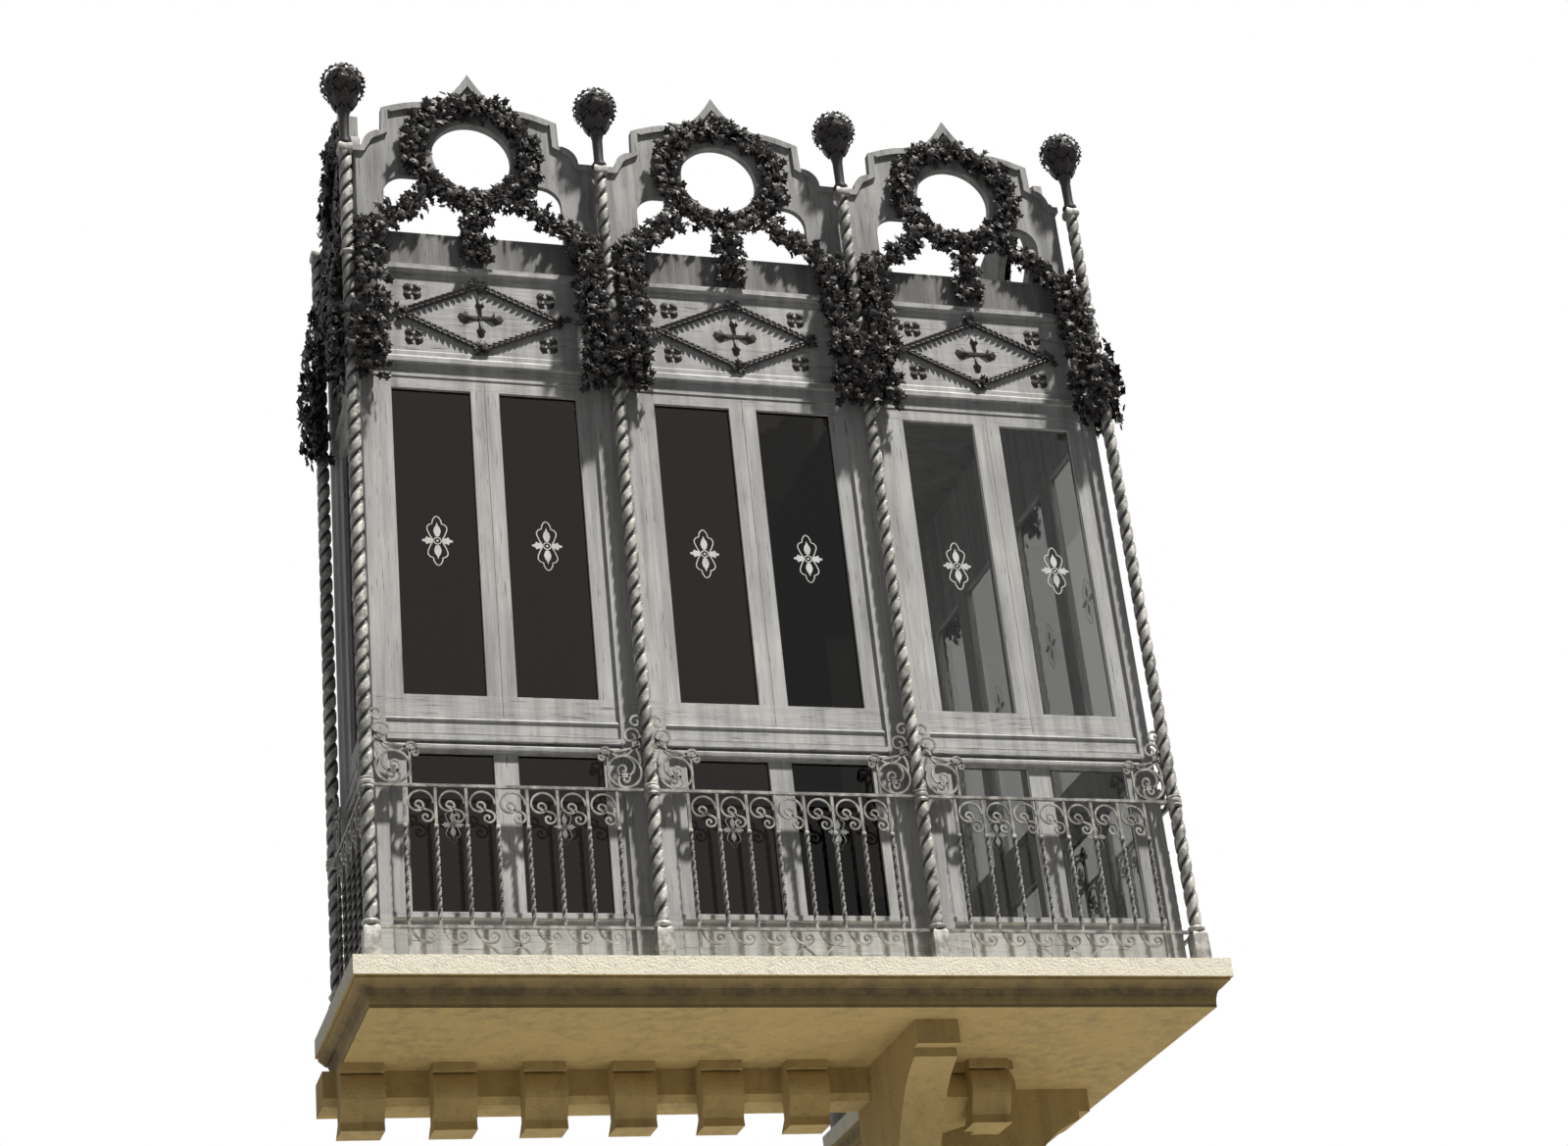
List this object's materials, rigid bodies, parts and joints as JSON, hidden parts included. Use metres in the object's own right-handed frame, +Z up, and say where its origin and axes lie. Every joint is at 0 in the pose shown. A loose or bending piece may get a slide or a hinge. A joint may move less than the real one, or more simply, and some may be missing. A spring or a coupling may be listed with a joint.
{
  "type": "glazed corner balcony with wrought iron columns",
  "caption": "Glazed balcony that wraps a building's corner: twisted iron columns, scroll railing, timber casements and leafy crest boards on a bracketed stone shelf.",
  "frame": {"origin": "on the front wall face, at the middle of the front columns' run and the middle of the shelf's thickness", "axes": "+X along the front wall towards the building's corner, +Y into the front wall, +Z up"},
  "size_m": [3.95, 2.7, 5.665],
  "materials": {
    "stone": "dressed sandstone with rain stains",
    "painted_timber": "weathered blue-grey paint",
    "wrought_iron": "worn dark grey paint",
    "leaf_iron": "rusty black sheet leaves",
    "glass": "clear, with an etched ornament"
  },
  "bodies": {
    "root": {"slab_front": "stone", "slab_side": "stone", "stone_band_front": "stone", "stone_band_side": "stone", "modillions_front": "stone", "modillions_side": "stone", "corner_bracket_front": "stone", "corner_bracket_side": "stone", "columns_front": "wrought_iron", "columns_side": "wrought_iron", "columns_wall": "wrought_iron", "finials_front": "leaf_iron", "finials_side": "leaf_iron", "frame_front": "painted_timber", "frame_side": "painted_timber", "frame_ends": "painted_timber", "casements_front": "painted_timber", "casements_side": "painted_timber", "casements_ends": "painted_timber", "glass_front": "glass", "glass_side": "glass", "glass_ends": "glass", "frieze_front": "painted_timber", "frieze_side": "painted_timber", "frieze_ends": "painted_timber", "frieze_ornament_front": "leaf_iron", "frieze_ornament_side": "leaf_iron", "frieze_ornament_ends": "leaf_iron", "crest_front": "painted_timber", "crest_side": "painted_timber", "crest_ends": "painted_timber", "wreaths_front": "leaf_iron", "wreaths_side": "leaf_iron", "wreaths_ends": "leaf_iron", "garlands_front": "leaf_iron", "garlands_side": "leaf_iron", "garlands_ends": "leaf_iron", "railing_front": "wrought_iron", "railing_side": "wrought_iron", "railing_ends": "wrought_iron", "scroll_brackets_front": "wrought_iron", "scroll_brackets_side": "wrought_iron", "scroll_brackets_ends": "wrought_iron", "roof_front": "painted_timber", "roof_side": "painted_timber"}
  },
  "joints": []
}
